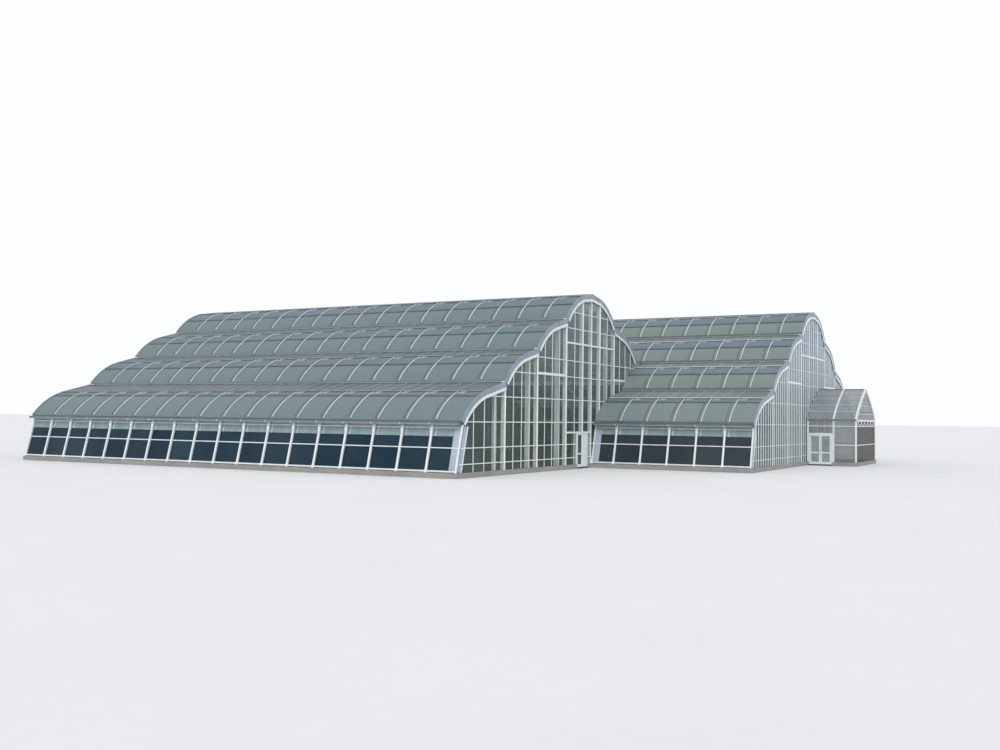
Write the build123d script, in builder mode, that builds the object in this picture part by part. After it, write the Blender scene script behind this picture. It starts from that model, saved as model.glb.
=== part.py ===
"""Glass greenhouse, 1:2 scale model: two parallel glazed halls with stepped roofs, and a porch.

Millimetres, in the model's own scale. +X runs along the ridges, +Y from the front wall to the back,
+Z up. The origin lies at ground level under the middle of the valley between the halls.
"""
import math
import os

from build123d import *

# Main hall and second hall
main_bay = 1000.0
main_bays = 18
second_bay = 970.0
second_bays = 18
main_right_x = 6000.0
second_right_x = 11690.0
frame_bays = 3

# Base
plinth_height = 150.0
plinth_width = 120.0
plinth_reach = 30.0
floor_top = 50.0
slab_joint = 6.0

# Front and back walls, seen in the section
wall_height = 1345.0
wall_lean = 350.0
post_depth = 60.0
post_width = 46.0
glass = 20.0

# Eave gutter
gutter_sheet = 15.0
gutter_reach = 200.0
gutter_web_back = 40.0
gutter_height = 95.0
gutter_lip = 80.0

# Roof tiers: each is a curved sheet of glass below a long flat vent
tiers = 4
low_tiers = 2
tier_run = 2150.0
tier_rise = 1140.0
ridge_run = 2100.0
ridge_rise = 1040.0
first_junction = 2800.0
first_junction_z = 2660.0
arc_run = 1280.0
arc_rise = 860.0
arc_sagitta = 125.0
vent_drop = 60.0
vent_lap = 40.0
vent_gap = 3.0
beam_width = 60.0
beam_depth = 160.0
rail_width = 40.0
rail_depth = 60.0
rail_gap = 12.0
ridge_width = 80.0
ridge_depth = 260.0

# Frames inside the halls
rafter_depth = 120.0
rafter_width = 60.0
column_size = 80.0

# Gable walls
gable_post_width = 70.0
gable_post_depth = 130.0
ridge_post_offset = 740.0
ridge_mullion_width = 40.0
wind_post_width = 80.0
wind_post_depth = 120.0
wind_post_setback = 320.0
tie_size = 60.0
lower_tie_z = 3010.0
upper_tie_z = 4130.0
pane_setback = 20.0
verge_above = 30.0
verge_below = 200.0
verge_thickness = 20.0
edge_facets = 5

# Porch on the second hall's right gable
porch_length = 1880.0
porch_half_width = 2100.0
porch_offset = 950.0
porch_eave = 1650.0
porch_ridge = 2860.0
porch_sagitta = 95.0
porch_member = 60.0
porch_mid_frame = 980.0
porch_bar_height = 30.0
porch_bar_z = 1380.0
porch_transom_z = 650.0
truss_bar = 18.0
truss_bays = 6

# Doors
leaf_width = 395.0
leaf_height = 1150.0
leaf_thickness = 30.0
leaf_stile = 45.0
leaf_rail_height = 430.0
pane_thickness = 10.0
door_gap = 5.0
meeting_gap = 10.0
jamb_width = 50.0
jamb_depth = 60.0
header_height = 60.0
gable_door_from_ridge = 1160.0
porch_door_from_gable = 60.0
hinge_setout = 10.0
hinge_radius = 8.0
hinge_facets = 10
hinge_length = 40.0
hinge_plate = 4.0
hinge_plate_width = 30.0
hinge_inset = 150.0
hinge_seat_gap = 0.3
pin_radius = 5.0
pin_clearance = 0.08
handle_low = 420.0
handle_length = 220.0
handle_bar = 12.0
handle_reach = 30.0

# Derived places
sill = plinth_height
half_span = first_junction + (tiers - 2) * tier_run + ridge_run
main_left_x = main_right_x - main_bay * main_bays
second_left_x = second_right_x - second_bay * second_bays
main_ridge_y = -half_span / 2
second_ridge_y = half_span / 2
main_front_y = main_ridge_y - half_span
main_back_y = main_ridge_y + half_span
second_front_y = second_ridge_y - half_span
second_back_y = second_ridge_y + half_span
gutter_web_u = wall_lean - post_depth
first_seat_u = gutter_web_u + gutter_sheet
eave_z = wall_height + gutter_height
porch_y = second_ridge_y + porch_offset
opening_width = 2 * leaf_width + 2 * door_gap + meeting_gap
opening_top = floor_top + leaf_height + 2 * door_gap - sill
hinge_heights = (hinge_inset, leaf_height - hinge_inset - 2 * hinge_length)

junctions = [(first_junction + k * tier_run, first_junction_z + k * tier_rise) for k in range(tiers - 1)]
seats = [(first_seat_u, eave_z)] + [(u + beam_width / 2, z) for u, z in junctions]
arc_ends = [(u + arc_run, z + arc_rise) for u, z in seats]
ridge_face_u = half_span - ridge_width / 2
ridge_top = junctions[-1][1] + ridge_rise
heads = [(u, z - vent_drop) for u, z in junctions] + [(ridge_face_u, ridge_top - vent_drop)]
post_centres = [half_span - u - gable_post_width / 2 for u, _ in junctions]


def section_plane(x, ridge_y, back=False):
    """Plane of a cross-section: its x is 0 under the ridge and negative towards the eave."""
    side = -1 if back else 1
    return Plane(origin=(x, ridge_y, sill), x_dir=(0, side, 0), z_dir=(side, 0, 0))


def local(point):
    """Section point measured from the wall's foot, as seen from the ridge."""
    return (point[0] - half_span, point[1])


def arc_circle(start, run, rise, sagitta):
    """Centre, radius and end angles, in degrees, of the arc that rises from start."""
    chord = math.hypot(run, rise)
    radius = (chord**2 / 4 + sagitta**2) / (2 * sagitta)
    drop = radius - sagitta
    centre = (start[0] + run / 2 + rise / chord * drop, start[1] + rise / 2 - run / chord * drop)
    first = math.degrees(math.atan2(start[1] - centre[1], start[0] - centre[0]))
    last = math.degrees(math.atan2(start[1] + rise - centre[1], start[0] + run - centre[0]))
    return centre, radius, first, last


def arc_band(start, run, rise, sagitta, outer, inner):
    """Face between two arcs concentric with the arc that rises from start."""
    centre, radius, first, last = arc_circle(start, run, rise, sagitta)
    with BuildLine() as outline:
        top = CenterArc(centre, radius + outer, last, first - last)
        bottom = CenterArc(centre, radius + inner, last, first - last)
        Line(top @ 0, bottom @ 0)
        Line(top @ 1, bottom @ 1)
    make_face(outline.edges())


def tier_points(tier, offset):
    """Points along a tier's curve, moved out by offset, for edges laid in short straight lengths."""
    centre, radius, first, last = arc_circle(seats[tier], arc_run, arc_rise, arc_sagitta)
    angles = [math.radians(first + (last - first) * k / edge_facets) for k in range(edge_facets + 1)]
    return [(centre[0] + (radius + offset) * math.cos(a), centre[1] + (radius + offset) * math.sin(a))
            for a in angles]


def polygon(points):
    """Face with the given corners."""
    Polygon(*points, align=None)


def slab_face(start, end, over, under):
    """Straight strip from start to end, with its faces measured up from that line."""
    length = math.hypot(end[0] - start[0], end[1] - start[1])
    nx, nz = -(end[1] - start[1]) / length, (end[0] - start[0]) / length
    polygon([
        (start[0] + nx * under, start[1] + nz * under),
        (end[0] + nx * under, end[1] + nz * under),
        (end[0] + nx * over, end[1] + nz * over),
        (start[0] + nx * over, start[1] + nz * over),
    ])


def vent_start(tier):
    """Lower end of a vent's underside, just above the curved glass."""
    lap_u = arc_ends[tier][0]
    low_z = arc_ends[tier][1] + glass + vent_gap
    end_u, end_z = heads[tier]
    slope = (end_z - low_z) / (end_u - lap_u)
    return (lap_u - vent_lap, low_z - vent_lap * slope)


def hall_region(offset):
    """Whole area under a hall's roof, from the sill up, with the roof's surface moved out by offset."""
    wall_inside = post_depth + glass
    with BuildSketch() as region:
        corners = [
            (wall_inside - offset, 0),
            (wall_lean + wall_inside - offset, wall_height),
            (wall_lean + wall_inside, wall_height + gutter_sheet),
            (gutter_web_u + gutter_sheet, wall_height + gutter_sheet),
        ]
        for tier in range(tiers):
            corners += tier_points(tier, offset) + [(heads[tier][0], heads[tier][1] + offset)]
            if tier < len(junctions):
                corners += [(junctions[tier][0], junctions[tier][1] + offset)]
        corners += [(ridge_face_u, ridge_top + offset), (half_span, ridge_top + offset), (half_span, 0)]
        polygon([local(p) for p in corners])
        mirror(about=Plane.YZ)
    return region.sketch


def wall_strip(outer, inner, top):
    """Leaning strip of a wall's section between two depths from its outer line."""
    polygon([local(p) for p in (
        (outer, 0), (inner, 0), (inner + wall_lean, top), (outer + wall_lean, top))])


def finish(part, name):
    """Name a finished piece and write its file."""
    part.label = name
    export_step(part, f"parts/{name}.step")


os.makedirs("parts", exist_ok=True)
inner_region = hall_region(0)
outer_region = hall_region(glass + vent_gap + glass + vent_gap)


class Hall:
    """Places of one hall: its ends, its ridge and where each slope runs down to its wall."""

    def __init__(self, name, left, right, ridge_y, bay, bays, front_from, front_to, back_from, back_to):
        self.name = name
        self.left = left
        self.right = right
        self.ridge_y = ridge_y
        self.bay = bay
        self.bays = bays
        self.low = {False: (front_from, front_to), True: (back_from, back_to)}

    def span(self, back, low):
        """Ends along X of a slope: the low tiers stop where the other hall joins."""
        return self.low[back] if low else (self.left, self.right)

    def beam_span(self, back, low):
        """Ends of a long beam: behind the gable's posts, or at the other hall's gable."""
        start, end = self.span(back, low)
        return (start + gable_post_depth if start == self.left else start,
                end - gable_post_depth if end == self.right else end)

    def bay_lines(self):
        """X of every bay line, from the right gable to the left."""
        return [self.right - k * self.bay for k in range(self.bays + 1)]

    def frame_lines(self):
        """X of every inner frame."""
        return self.bay_lines()[frame_bays:-1:frame_bays]


main = Hall("main", main_left_x, main_right_x, main_ridge_y, main_bay, main_bays,
            main_left_x, main_right_x, main_left_x, second_left_x)
second = Hall("second", second_left_x, second_right_x, second_ridge_y, second_bay, second_bays,
              main_right_x, second_right_x, second_left_x, second_right_x)


def run_along(hall, back, start, end):
    """Section plane and length for a piece that runs along X from start to end."""
    return section_plane(end if back else start, hall.ridge_y, back), end - start


def post_lines(hall, back):
    """X of the posts of one wall, with one at each of its ends."""
    start, end = hall.span(back, True)
    inside = [x for x in hall.bay_lines() if start + post_width < x < end - post_width]
    return [start + post_width / 2] + sorted(inside) + [end - post_width / 2]


def build_walls(hall):
    """Posts, glass and gutters of a hall's front and back walls."""
    with BuildPart() as posts:
        for back in (False, True):
            for x in post_lines(hall, back):
                plane, width = run_along(hall, back, x - post_width / 2, x + post_width / 2)
                with BuildSketch(plane):
                    wall_strip(0, post_depth, wall_height)
                extrude(amount=width)
    finish(posts.part, f"{hall.name}_wall_posts")

    with BuildPart() as panes:
        for back in (False, True):
            plane, length = run_along(hall, back, *hall.span(back, True))
            with BuildSketch(plane):
                wall_strip(post_depth, post_depth + glass, wall_height)
            extrude(amount=length)
    finish(panes.part, f"{hall.name}_wall_glass")

    with BuildPart() as gutters:
        for back in (False, True):
            plane, length = run_along(hall, back, *hall.span(back, True))
            lip = wall_lean - gutter_reach
            web = gutter_web_u
            inside = wall_lean + post_depth + glass
            with BuildSketch(plane):
                polygon([local(p) for p in (
                    (lip, wall_height), (inside, wall_height),
                    (inside, wall_height + gutter_sheet), (web + gutter_sheet, wall_height + gutter_sheet),
                    (web + gutter_sheet, eave_z), (web, eave_z), (web, wall_height + gutter_sheet),
                    (lip + gutter_sheet, wall_height + gutter_sheet),
                    (lip + gutter_sheet, wall_height + gutter_lip), (lip, wall_height + gutter_lip))])
            extrude(amount=length)
    finish(gutters.part, f"{hall.name}_eave_gutters")


def build_roof(hall, back):
    """Curved glass and vents of one slope."""
    side = "back" if back else "front"
    with BuildPart() as sheets:
        for tier in range(tiers):
            plane, length = run_along(hall, back, *hall.span(back, tier < low_tiers))
            with BuildSketch(plane):
                arc_band(local(seats[tier]), arc_run, arc_rise, arc_sagitta, glass, 0)
            extrude(amount=length)
    finish(sheets.part, f"{hall.name}_{side}_roof_glass")

    with BuildPart() as vents:
        for tier in range(tiers):
            plane, length = run_along(hall, back, *hall.span(back, tier < low_tiers))
            with BuildSketch(plane):
                slab_face(local(vent_start(tier)), local(heads[tier]), glass, 0)
                with Locations(local((heads[tier][0] + glass, heads[tier][1]))):
                    Rectangle(2 * glass, 4 * glass, mode=Mode.SUBTRACT)
            extrude(amount=length)
    finish(vents.part, f"{hall.name}_{side}_vents")


def build_purlins(hall):
    """Long beams at the tier junctions, rails under the vents' free edges, and the ridge beam."""
    with BuildPart() as beams:
        for back in (False, True):
            for tier, (u, z) in enumerate(junctions):
                plane, length = run_along(hall, back, *hall.beam_span(back, tier < low_tiers - 1))
                with BuildSketch(plane):
                    with Locations(local((u, z))):
                        Rectangle(beam_width, beam_depth, align=(Align.MIN, Align.MAX))
                extrude(amount=length)
            for tier, (u, z) in enumerate(arc_ends):
                plane, length = run_along(hall, back, *hall.beam_span(back, tier < low_tiers))
                with BuildSketch(plane):
                    with Locations(local((u, z - rail_gap))):
                        Rectangle(rail_width, rail_depth, align=(Align.MAX, Align.MAX))
                extrude(amount=length)
        plane, length = run_along(hall, False, *hall.beam_span(False, False))
        with BuildSketch(plane):
            with Locations((0, ridge_top)):
                Rectangle(ridge_width, ridge_depth, align=(Align.CENTER, Align.MAX))
        extrude(amount=length)
    finish(beams.part, f"{hall.name}_purlins")


def rafter_top(u):
    """Height of the rafters' upper face, which touches the lower corner of each junction beam."""
    slope = tier_rise / tier_run
    return first_junction_z - beam_depth + slope * (u - first_junction - beam_width)


def frame_slopes(hall):
    """Every inner frame as x, slope, and how far down and up that slope its rafter runs."""
    eave_u = wall_lean + post_depth + glass
    valley_u = junctions[low_tiers - 1][0]
    places = []
    for x in hall.frame_lines():
        for back in (False, True):
            low_start, low_end = hall.span(back, True)
            places.append((x, back, eave_u if low_start < x < low_end else valley_u, ridge_face_u))
    if hall is main:
        places.append((second_left_x - rafter_width / 2, True, eave_u, valley_u + beam_width))
    else:
        places.append((main_right_x + rafter_width / 2, False, eave_u, valley_u + beam_width))
    return places


def build_frames(hall):
    """Rafters and columns of the inner frames."""
    rafter_drop = rafter_depth * math.hypot(1, tier_rise / tier_run)
    with BuildPart() as rafters:
        for x, back, low_u, high_u in frame_slopes(hall):
            plane, width = run_along(hall, back, x - rafter_width / 2, x + rafter_width / 2)
            with BuildSketch(plane):
                polygon([local(p) for p in (
                    (low_u, rafter_top(low_u)), (low_u, rafter_top(low_u) - rafter_drop),
                    (high_u, rafter_top(high_u) - rafter_drop), (high_u, rafter_top(high_u)))])
            extrude(amount=width)
    finish(rafters.part, f"{hall.name}_rafters")

    with BuildPart() as columns:
        for x, back, low_u, high_u in frame_slopes(hall):
            for u in sorted({low_u, junctions[low_tiers - 1][0]}):
                top = rafter_top(u) - rafter_drop
                plane, width = run_along(hall, back, x - rafter_width / 2, x + rafter_width / 2)
                with BuildSketch(plane):
                    with Locations(local((u, floor_top - sill))):
                        Rectangle(column_size, top - floor_top + sill, align=(Align.MIN, Align.MIN))
                extrude(amount=width)
    finish(columns.part, f"{hall.name}_columns")


def gable_strips():
    """Centre and width of every upright on a gable, from the low side to the high side."""
    side = [(c, gable_post_width) for c in post_centres] + [(ridge_post_offset, gable_post_width)]
    return [(-c, w) for c, w in side] + [(0, ridge_mullion_width)] + side[::-1]


def gable_ties():
    """Ends and height of the tie beams between neighbouring uprights of a gable."""
    strips = gable_strips()
    ties = []
    for (low, low_width), (high, high_width) in zip(strips, strips[1:]):
        reach = max(abs(low), abs(high))
        if reach <= post_centres[-2]:
            level = upper_tie_z if reach <= post_centres[-1] else lower_tie_z
            ties.append((low + low_width / 2, high - high_width / 2, level))
    return ties


def gable_doorway(hall, right):
    """Ends of the doorway through a gable, with its jambs, or None."""
    if not right:
        return None
    if hall is main:
        return -gable_door_from_ridge - jamb_width, opening_width + jamb_width - gable_door_from_ridge
    return ridge_mullion_width / 2, post_centres[-1] - gable_post_width / 2


def wall_block(low, high, bottom, top, mode=Mode.ADD):
    """Rectangle on a gable between two distances from the ridge line and two heights."""
    with Locations(((low + high) / 2, (bottom + top) / 2)):
        Rectangle(high - low, top - bottom, mode=mode)


def build_gable(hall, right):
    """Posts and panes of one gable wall."""
    joined = right == (hall is main)
    side = "right" if right else "left"
    outside = hall.right if right else hall.left
    inward = -1 if right else 1
    neighbour = 1 if hall is main else -1
    limit = half_span - junctions[low_tiers - 1][0]
    top = ridge_top + glass
    doorway = gable_doorway(hall, right)

    def plane_at(depth):
        """Section plane facing inwards, at a depth behind the gable's outer face."""
        return section_plane(outside + inward * depth, hall.ridge_y)

    def keep(centre):
        """True for an upright on the part of the gable that this hall closes itself."""
        return not joined or neighbour * centre < limit

    with BuildPart() as posts:
        with BuildSketch(plane_at(0)):
            for centre, width in gable_strips():
                if keep(centre):
                    wall_block(centre - width / 2, centre + width / 2, 0, top)
            add(inner_region, mode=Mode.INTERSECT)
            if doorway:
                wall_block(*doorway, 0, opening_top + header_height, mode=Mode.SUBTRACT)
        extrude(amount=inward * gable_post_depth)
        with BuildSketch(plane_at(wind_post_setback)):
            for centre, (_, z) in zip(post_centres, junctions):
                for place in (-centre, centre):
                    if keep(place):
                        wall_block(place - wind_post_width / 2, place + wind_post_width / 2,
                                   floor_top - sill, z - beam_depth)
        extrude(amount=inward * wind_post_depth)
    finish(posts.part, f"{hall.name}_{side}_gable_posts")

    with BuildPart() as panes:
        with BuildSketch(plane_at(pane_setback)):
            add(inner_region)
            if joined:
                add(Location((neighbour * half_span, 0, 0)) * inner_region, mode=Mode.SUBTRACT)
                beyond = sorted((neighbour * (limit - beam_width / 2), neighbour * 2 * half_span))
                wall_block(*beyond, -top, top, mode=Mode.SUBTRACT)
            for centre, width in gable_strips():
                if keep(centre):
                    wall_block(centre - width / 2, centre + width / 2, -top, top, mode=Mode.SUBTRACT)
            for low, high, level in gable_ties():
                wall_block(low, high, level - tie_size / 2, level + tie_size / 2, mode=Mode.SUBTRACT)
            if doorway:
                wall_block(*doorway, -top, opening_top, mode=Mode.SUBTRACT)
                wall_block(*gable_header(hall), opening_top, opening_top + header_height, mode=Mode.SUBTRACT)
        extrude(amount=inward * glass)
    finish(panes.part, f"{hall.name}_{side}_gable_glass")


def gable_header(hall):
    """Ends of the header over a gable's doorway, from one upright to the next."""
    if hall is main:
        return gable_post_width / 2 - post_centres[-1], -ridge_mullion_width / 2
    return gable_doorway(hall, True)


def build_gable_ties():
    """Tie beams between the uprights of all four gables, and the lintel over the way to the porch."""
    with BuildPart() as ties:
        for hall in (main, second):
            for outside, inward in ((hall.right, -1), (hall.left, 1)):
                with BuildSketch(section_plane(outside, hall.ridge_y)) as beams:
                    for low, high, level in gable_ties():
                        wall_block(low, high, level - tie_size / 2, level + tie_size / 2)
                extrude(beams.sketch, amount=inward * tie_size)
        with BuildSketch(section_plane(second.right, second.ridge_y)) as lintel:
            wall_block(*gable_header(second), opening_top, opening_top + header_height)
        extrude(lintel.sketch, amount=-gable_post_depth)
    finish(ties.part, "gable_ties")


def verge_line(tier):
    """Line under a vent, lengthened so that the verge boards above and below it join."""
    start, end = local(arc_ends[tier]), local(heads[tier])
    slope = (end[1] - start[1]) / (end[0] - start[0])
    reach = beam_width if tier < len(junctions) else ridge_width / 2
    return ((start[0] - vent_lap, start[1] - vent_lap * slope), (end[0] + reach, end[1] + reach * slope))


def build_verges(hall):
    """Scalloped boards along the roof's edge at both gables."""
    with BuildPart() as boards:
        for right in (True, False):
            joined = right == (hall is main)
            outside = hall.right if right else hall.left
            with BuildSketch(section_plane(outside, hall.ridge_y)):
                for tier in range(tiers):
                    upper = tier_points(tier, glass + verge_above)
                    lower = tier_points(tier, -verge_below)
                    polygon([local(p) for p in upper + lower[::-1]])
                    slab_face(*verge_line(tier), glass + verge_above, -verge_below)
                with Locations((-ridge_width / 2, ridge_top)):
                    Rectangle(ridge_width / 2, verge_below + verge_above, align=(Align.MIN, Align.MAX))
                mirror(about=Plane.YZ)
                if joined:
                    shift = half_span if hall is main else -half_span
                    add(Location((shift, 0, 0)) * outer_region, mode=Mode.SUBTRACT)
            extrude(amount=verge_thickness if right else -verge_thickness)
    finish(boards.part, f"{hall.name}_verges")


def box(x0, y0, z0, x1, y1, z1):
    """Block between two corners."""
    with Locations(((x0 + x1) / 2, (y0 + y1) / 2, (z0 + z1) / 2)):
        Box(x1 - x0, y1 - y0, z1 - z0)


def build_base():
    """Floor slabs with movement joints, and the kerb that the walls stand on."""
    reach, depth = plinth_reach, plinth_width - plinth_reach
    gable_gap = [main_ridge_y + place for place in gable_doorway(main, True)]
    passage = [second_ridge_y + place for place in gable_doorway(second, True)]
    porch_low, porch_high = porch_y - porch_half_width, porch_y + porch_half_width
    porch_end = second_right_x + porch_length
    porch_gap = (second_right_x + porch_door_from_gable, second_right_x + porch_door_from_gable
                 + opening_width + 2 * jamb_width)
    with BuildPart() as floor:
        box(main_left_x + depth, main_front_y + depth, 0,
            main_right_x - depth, second_front_y + depth - slab_joint, floor_top)
        box(main_left_x + depth, second_front_y + depth, 0,
            second_right_x - depth, main_back_y - depth, floor_top)
        box(second_left_x + depth, main_back_y - depth + slab_joint, 0,
            second_right_x - depth, second_back_y - depth, floor_top)
        box(main_right_x - depth + slab_joint, gable_gap[0], 0, main_right_x + reach, gable_gap[1], floor_top)
        box(second_right_x - depth + slab_joint, passage[0], 0, second_right_x + reach, passage[1], floor_top)
        box(second_right_x + reach + slab_joint, porch_low + depth, 0,
            porch_end - depth, porch_high - depth, floor_top)
        box(porch_gap[0], porch_low - reach, 0, porch_gap[1], porch_low + depth - slab_joint, floor_top)
    finish(floor.part, "floor_slabs")

    def kerb_x(x0, x1, y, front):
        """Kerb that runs along X, on the outer line y of a front or back wall."""
        low = y - reach if front else y - depth
        box(x0, low, 0, x1, low + plinth_width, plinth_height)

    def kerb_y(y0, y1, x, right):
        """Kerb that runs along Y, on the outer line x of a right or left wall."""
        low = x - depth if right else x - reach
        box(low, y0, 0, low + plinth_width, y1, plinth_height)

    with BuildPart() as kerbs:
        kerb_x(main_left_x - reach, main_right_x + reach, main_front_y, True)
        kerb_y(main_front_y + depth + slab_joint, gable_gap[0], main_right_x, True)
        kerb_y(gable_gap[1], second_front_y - reach - slab_joint, main_right_x, True)
        kerb_x(main_right_x - depth, second_right_x + reach, second_front_y, True)
        kerb_y(second_front_y + depth + slab_joint, passage[0], second_right_x, True)
        kerb_y(passage[1], second_back_y - depth - slab_joint, second_right_x, True)
        kerb_x(second_left_x - reach, second_right_x + reach, second_back_y, False)
        kerb_y(main_back_y + reach + slab_joint, second_back_y - depth - slab_joint, second_left_x, False)
        kerb_x(main_left_x - reach, second_left_x + depth, main_back_y, False)
        kerb_y(main_front_y + depth + slab_joint, main_back_y - depth - slab_joint, main_left_x, False)
        kerb_x(porch_gap[1], porch_end + reach, porch_low, True)
        kerb_x(second_right_x + reach + slab_joint, porch_end + reach, porch_high, False)
        kerb_y(porch_low + depth + slab_joint, porch_high - depth - slab_joint, porch_end, True)
    finish(kerbs.part, "plinth_kerbs")


def build_valley():
    """Gutter between the two halls, closed by a plate at each end."""
    valley_u, valley_z = junctions[low_tiers - 1]
    bottom = valley_z - beam_depth + sill
    width = second_front_y + valley_u
    with BuildPart() as gutter:
        box(second_left_x, -width, bottom, main_right_x, width, bottom + gutter_sheet)
        box(second_left_x, -width, bottom, second_left_x + gutter_sheet, width, bottom + beam_depth)
        box(main_right_x - gutter_sheet, -width, bottom, main_right_x, width, bottom + beam_depth)
    finish(gutter.part, "valley_gutter")


def porch_plane(x):
    """Cross-section plane of the porch, seen from its ridge."""
    return Plane(origin=(x, porch_y, sill), x_dir=(0, 1, 0), z_dir=(1, 0, 0))


def porch_arch(outer, inner):
    """Both arcs of the pointed arch, between two offsets from its outer line."""
    arc_band((-porch_half_width, porch_eave), porch_half_width, porch_ridge - porch_eave,
             porch_sagitta, outer, inner)


def build_porch_bars(frame_x):
    """Bars on the outside of the porch's glass: a rail and a transom all round, and a truss at the end."""
    depth = (porch_member - glass) / 2
    low, high = porch_y - porch_half_width, porch_y + porch_half_width
    bar_z, transom_z = sill + porch_bar_z, sill + porch_transom_z
    for k, (x0, x1) in enumerate(zip(frame_x, frame_x[1:])):
        for y in (low, high - depth):
            box(x0 + porch_member, y, bar_z, x1, y + depth, bar_z + porch_bar_height)
            if k > 0 or y > low:
                box(x0 + porch_member, y, transom_z, x1, y + depth, transom_z + porch_bar_height)
    end = frame_x[-1] + porch_member
    inside = porch_half_width - porch_member
    step = 2 * inside / truss_bays
    bar_middle = porch_bar_z + porch_bar_height / 2
    with BuildSketch(porch_plane(end - depth)) as bars:
        for k in range(truss_bays):
            y = k * step - inside
            slab_face((y, bar_middle), (y + step, porch_eave), truss_bar / 2, -truss_bar / 2)
            slab_face((y, porch_eave), (y + step, bar_middle), truss_bar / 2, -truss_bar / 2)
        with Locations((0, bar_middle)):
            Rectangle(2 * inside, 2 * (porch_eave - porch_member - bar_middle), mode=Mode.INTERSECT)
        for z in (porch_bar_z, porch_transom_z):
            with Locations((0, z)):
                Rectangle(2 * inside, porch_bar_height, align=(Align.CENTER, Align.MIN))
    extrude(bars.sketch, amount=depth)


def build_porch():
    """Arched frames, rails and glass of the porch."""
    start, end = second_right_x, second_right_x + porch_length
    frame_x = [start, start + porch_mid_frame, end - porch_member]
    eave_low = porch_eave - porch_member
    with BuildPart() as frames:
        for x in frame_x:
            with BuildSketch(porch_plane(x)):
                with Locations((-porch_half_width, 0)):
                    Rectangle(porch_member, porch_eave, align=(Align.MIN, Align.MIN))
                if x == frame_x[-1]:
                    with Locations((-porch_half_width, eave_low)):
                        Rectangle(porch_half_width, porch_member, align=(Align.MIN, Align.MIN))
                porch_arch(0, -porch_member)
                mirror(about=Plane.YZ)
            extrude(amount=porch_member)
    finish(frames.part, "porch_frames")

    with BuildPart() as rails:
        for x0, x1 in ((frame_x[0], frame_x[1]), (frame_x[1], frame_x[2])):
            with BuildSketch(porch_plane(x0 + porch_member)):
                with Locations((-porch_half_width, eave_low)):
                    Rectangle(porch_member, porch_member, align=(Align.MIN, Align.MIN))
                mirror(about=Plane.YZ)
                with Locations((0, porch_ridge - porch_member / 2)):
                    Rectangle(porch_member / 2, porch_member, align=(Align.CENTER, Align.MAX))
            extrude(amount=x1 - x0 - porch_member)
        build_porch_bars(frame_x)
    finish(rails.part, "porch_rails")

    with BuildPart() as roof:
        with BuildSketch(porch_plane(start)):
            porch_arch(glass, 0)
        extrude(amount=porch_length)
        mirror(about=Plane.XZ.offset(-porch_y))
    finish(roof.part, "porch_roof_glass")

    near = porch_y - porch_half_width + (porch_member - glass) / 2
    far = porch_y + porch_half_width - (porch_member + glass) / 2
    door_left = start + porch_door_from_gable
    door_right = door_left + 2 * jamb_width + opening_width
    with BuildPart() as sides:
        box(door_left, near, sill + opening_top + header_height, frame_x[1], near + glass, sill + eave_low)
        box(frame_x[1] + porch_member, near, sill, frame_x[2], near + glass, sill + eave_low)
        box(frame_x[0] + porch_member, far, sill, frame_x[1], far + glass, sill + eave_low)
        box(frame_x[1] + porch_member, far, sill, frame_x[2], far + glass, sill + eave_low)
    finish(sides.part, "porch_side_glass")

    with BuildPart() as gable:
        with BuildSketch(porch_plane(end - (porch_member + glass) / 2)):
            with Locations((0, 0)):
                Rectangle(2 * (porch_half_width - porch_member), eave_low, align=(Align.CENTER, Align.MIN))
        extrude(amount=glass)
    finish(gable.part, "porch_end_glass")


def door_plane(origin, along, outward):
    """Plane of a doorway: x to the right and z outwards, as seen from outside."""
    return Plane(origin=origin, x_dir=along, z_dir=outward)


def hinge_axis(side):
    """Place of a leaf's hinge line across the doorway, and the direction from it to the leaf."""
    if side == "left":
        return door_gap / 2, 1
    return opening_width - door_gap / 2, -1


def knuckle(plane, side, low, on_leaf):
    """Plate and barrel of one hinge half, on the leaf or on the frame."""
    x, to_leaf = hinge_axis(side)
    reach = hinge_plate_width * (to_leaf if on_leaf else -to_leaf)
    level = Plane(origin=plane.from_local_coords((0, low, 0)), x_dir=plane.x_dir, z_dir=plane.y_dir)
    with BuildSketch(level) as outline:
        with Locations((x, -hinge_setout)):
            RegularPolygon(hinge_radius, hinge_facets)
        with Locations((x + reach / 2, -hinge_plate / 2)):
            Rectangle(hinge_plate_width, hinge_plate)
        if not on_leaf:
            with Locations((x, -hinge_setout)):
                Circle(pin_radius + pin_clearance, mode=Mode.SUBTRACT)
    extrude(outline.sketch, amount=hinge_length)
    if on_leaf:
        with BuildSketch(level) as pin:
            with Locations((x, -hinge_setout)):
                Circle(pin_radius)
        extrude(pin.sketch, amount=-hinge_length)


def handle(plane, x):
    """Pull handle on a leaf's outer face: an upright bar on two feet."""
    low = door_gap + handle_low
    with BuildSketch(plane) as feet:
        for z in (low, low + handle_length - handle_bar):
            with Locations((x, z)):
                Rectangle(handle_bar, handle_bar, align=(Align.CENTER, Align.MIN))
    extrude(feet.sketch, amount=handle_reach)
    with BuildSketch(plane.offset(handle_reach)) as bar:
        with Locations((x, low)):
            Rectangle(handle_bar, handle_length, align=(Align.CENTER, Align.MIN))
    extrude(bar.sketch, amount=handle_bar)


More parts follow.
